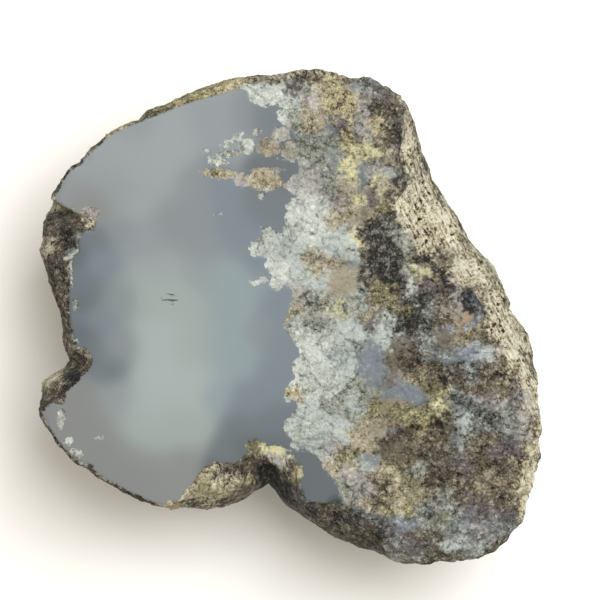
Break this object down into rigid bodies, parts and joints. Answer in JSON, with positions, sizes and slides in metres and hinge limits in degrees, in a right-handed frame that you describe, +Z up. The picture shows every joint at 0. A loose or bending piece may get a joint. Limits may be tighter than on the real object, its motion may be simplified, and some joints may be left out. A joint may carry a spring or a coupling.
{
  "type": "agate nodule half",
  "caption": "Rough half nodule of agate with a flat sawn face of blue-grey chalcedony, white crystal and brown matrix, lying on its skin.",
  "frame": {"origin": "on the surface the nodule lies on, under the middle of its outline", "axes": "+Z up, out of the sawn face; +X across the face from the chalcedony side to the side with the widest rind; +Y across the face at a right angle to it"},
  "size_m": [0.0962, 0.0946, 0.038],
  "materials": {
    "agate": "satin sawn chalcedony with granular crystal and matrix, and a rough matt rind"
  },
  "bodies": {
    "root": {"agate_nodule": "agate"}
  },
  "joints": []
}
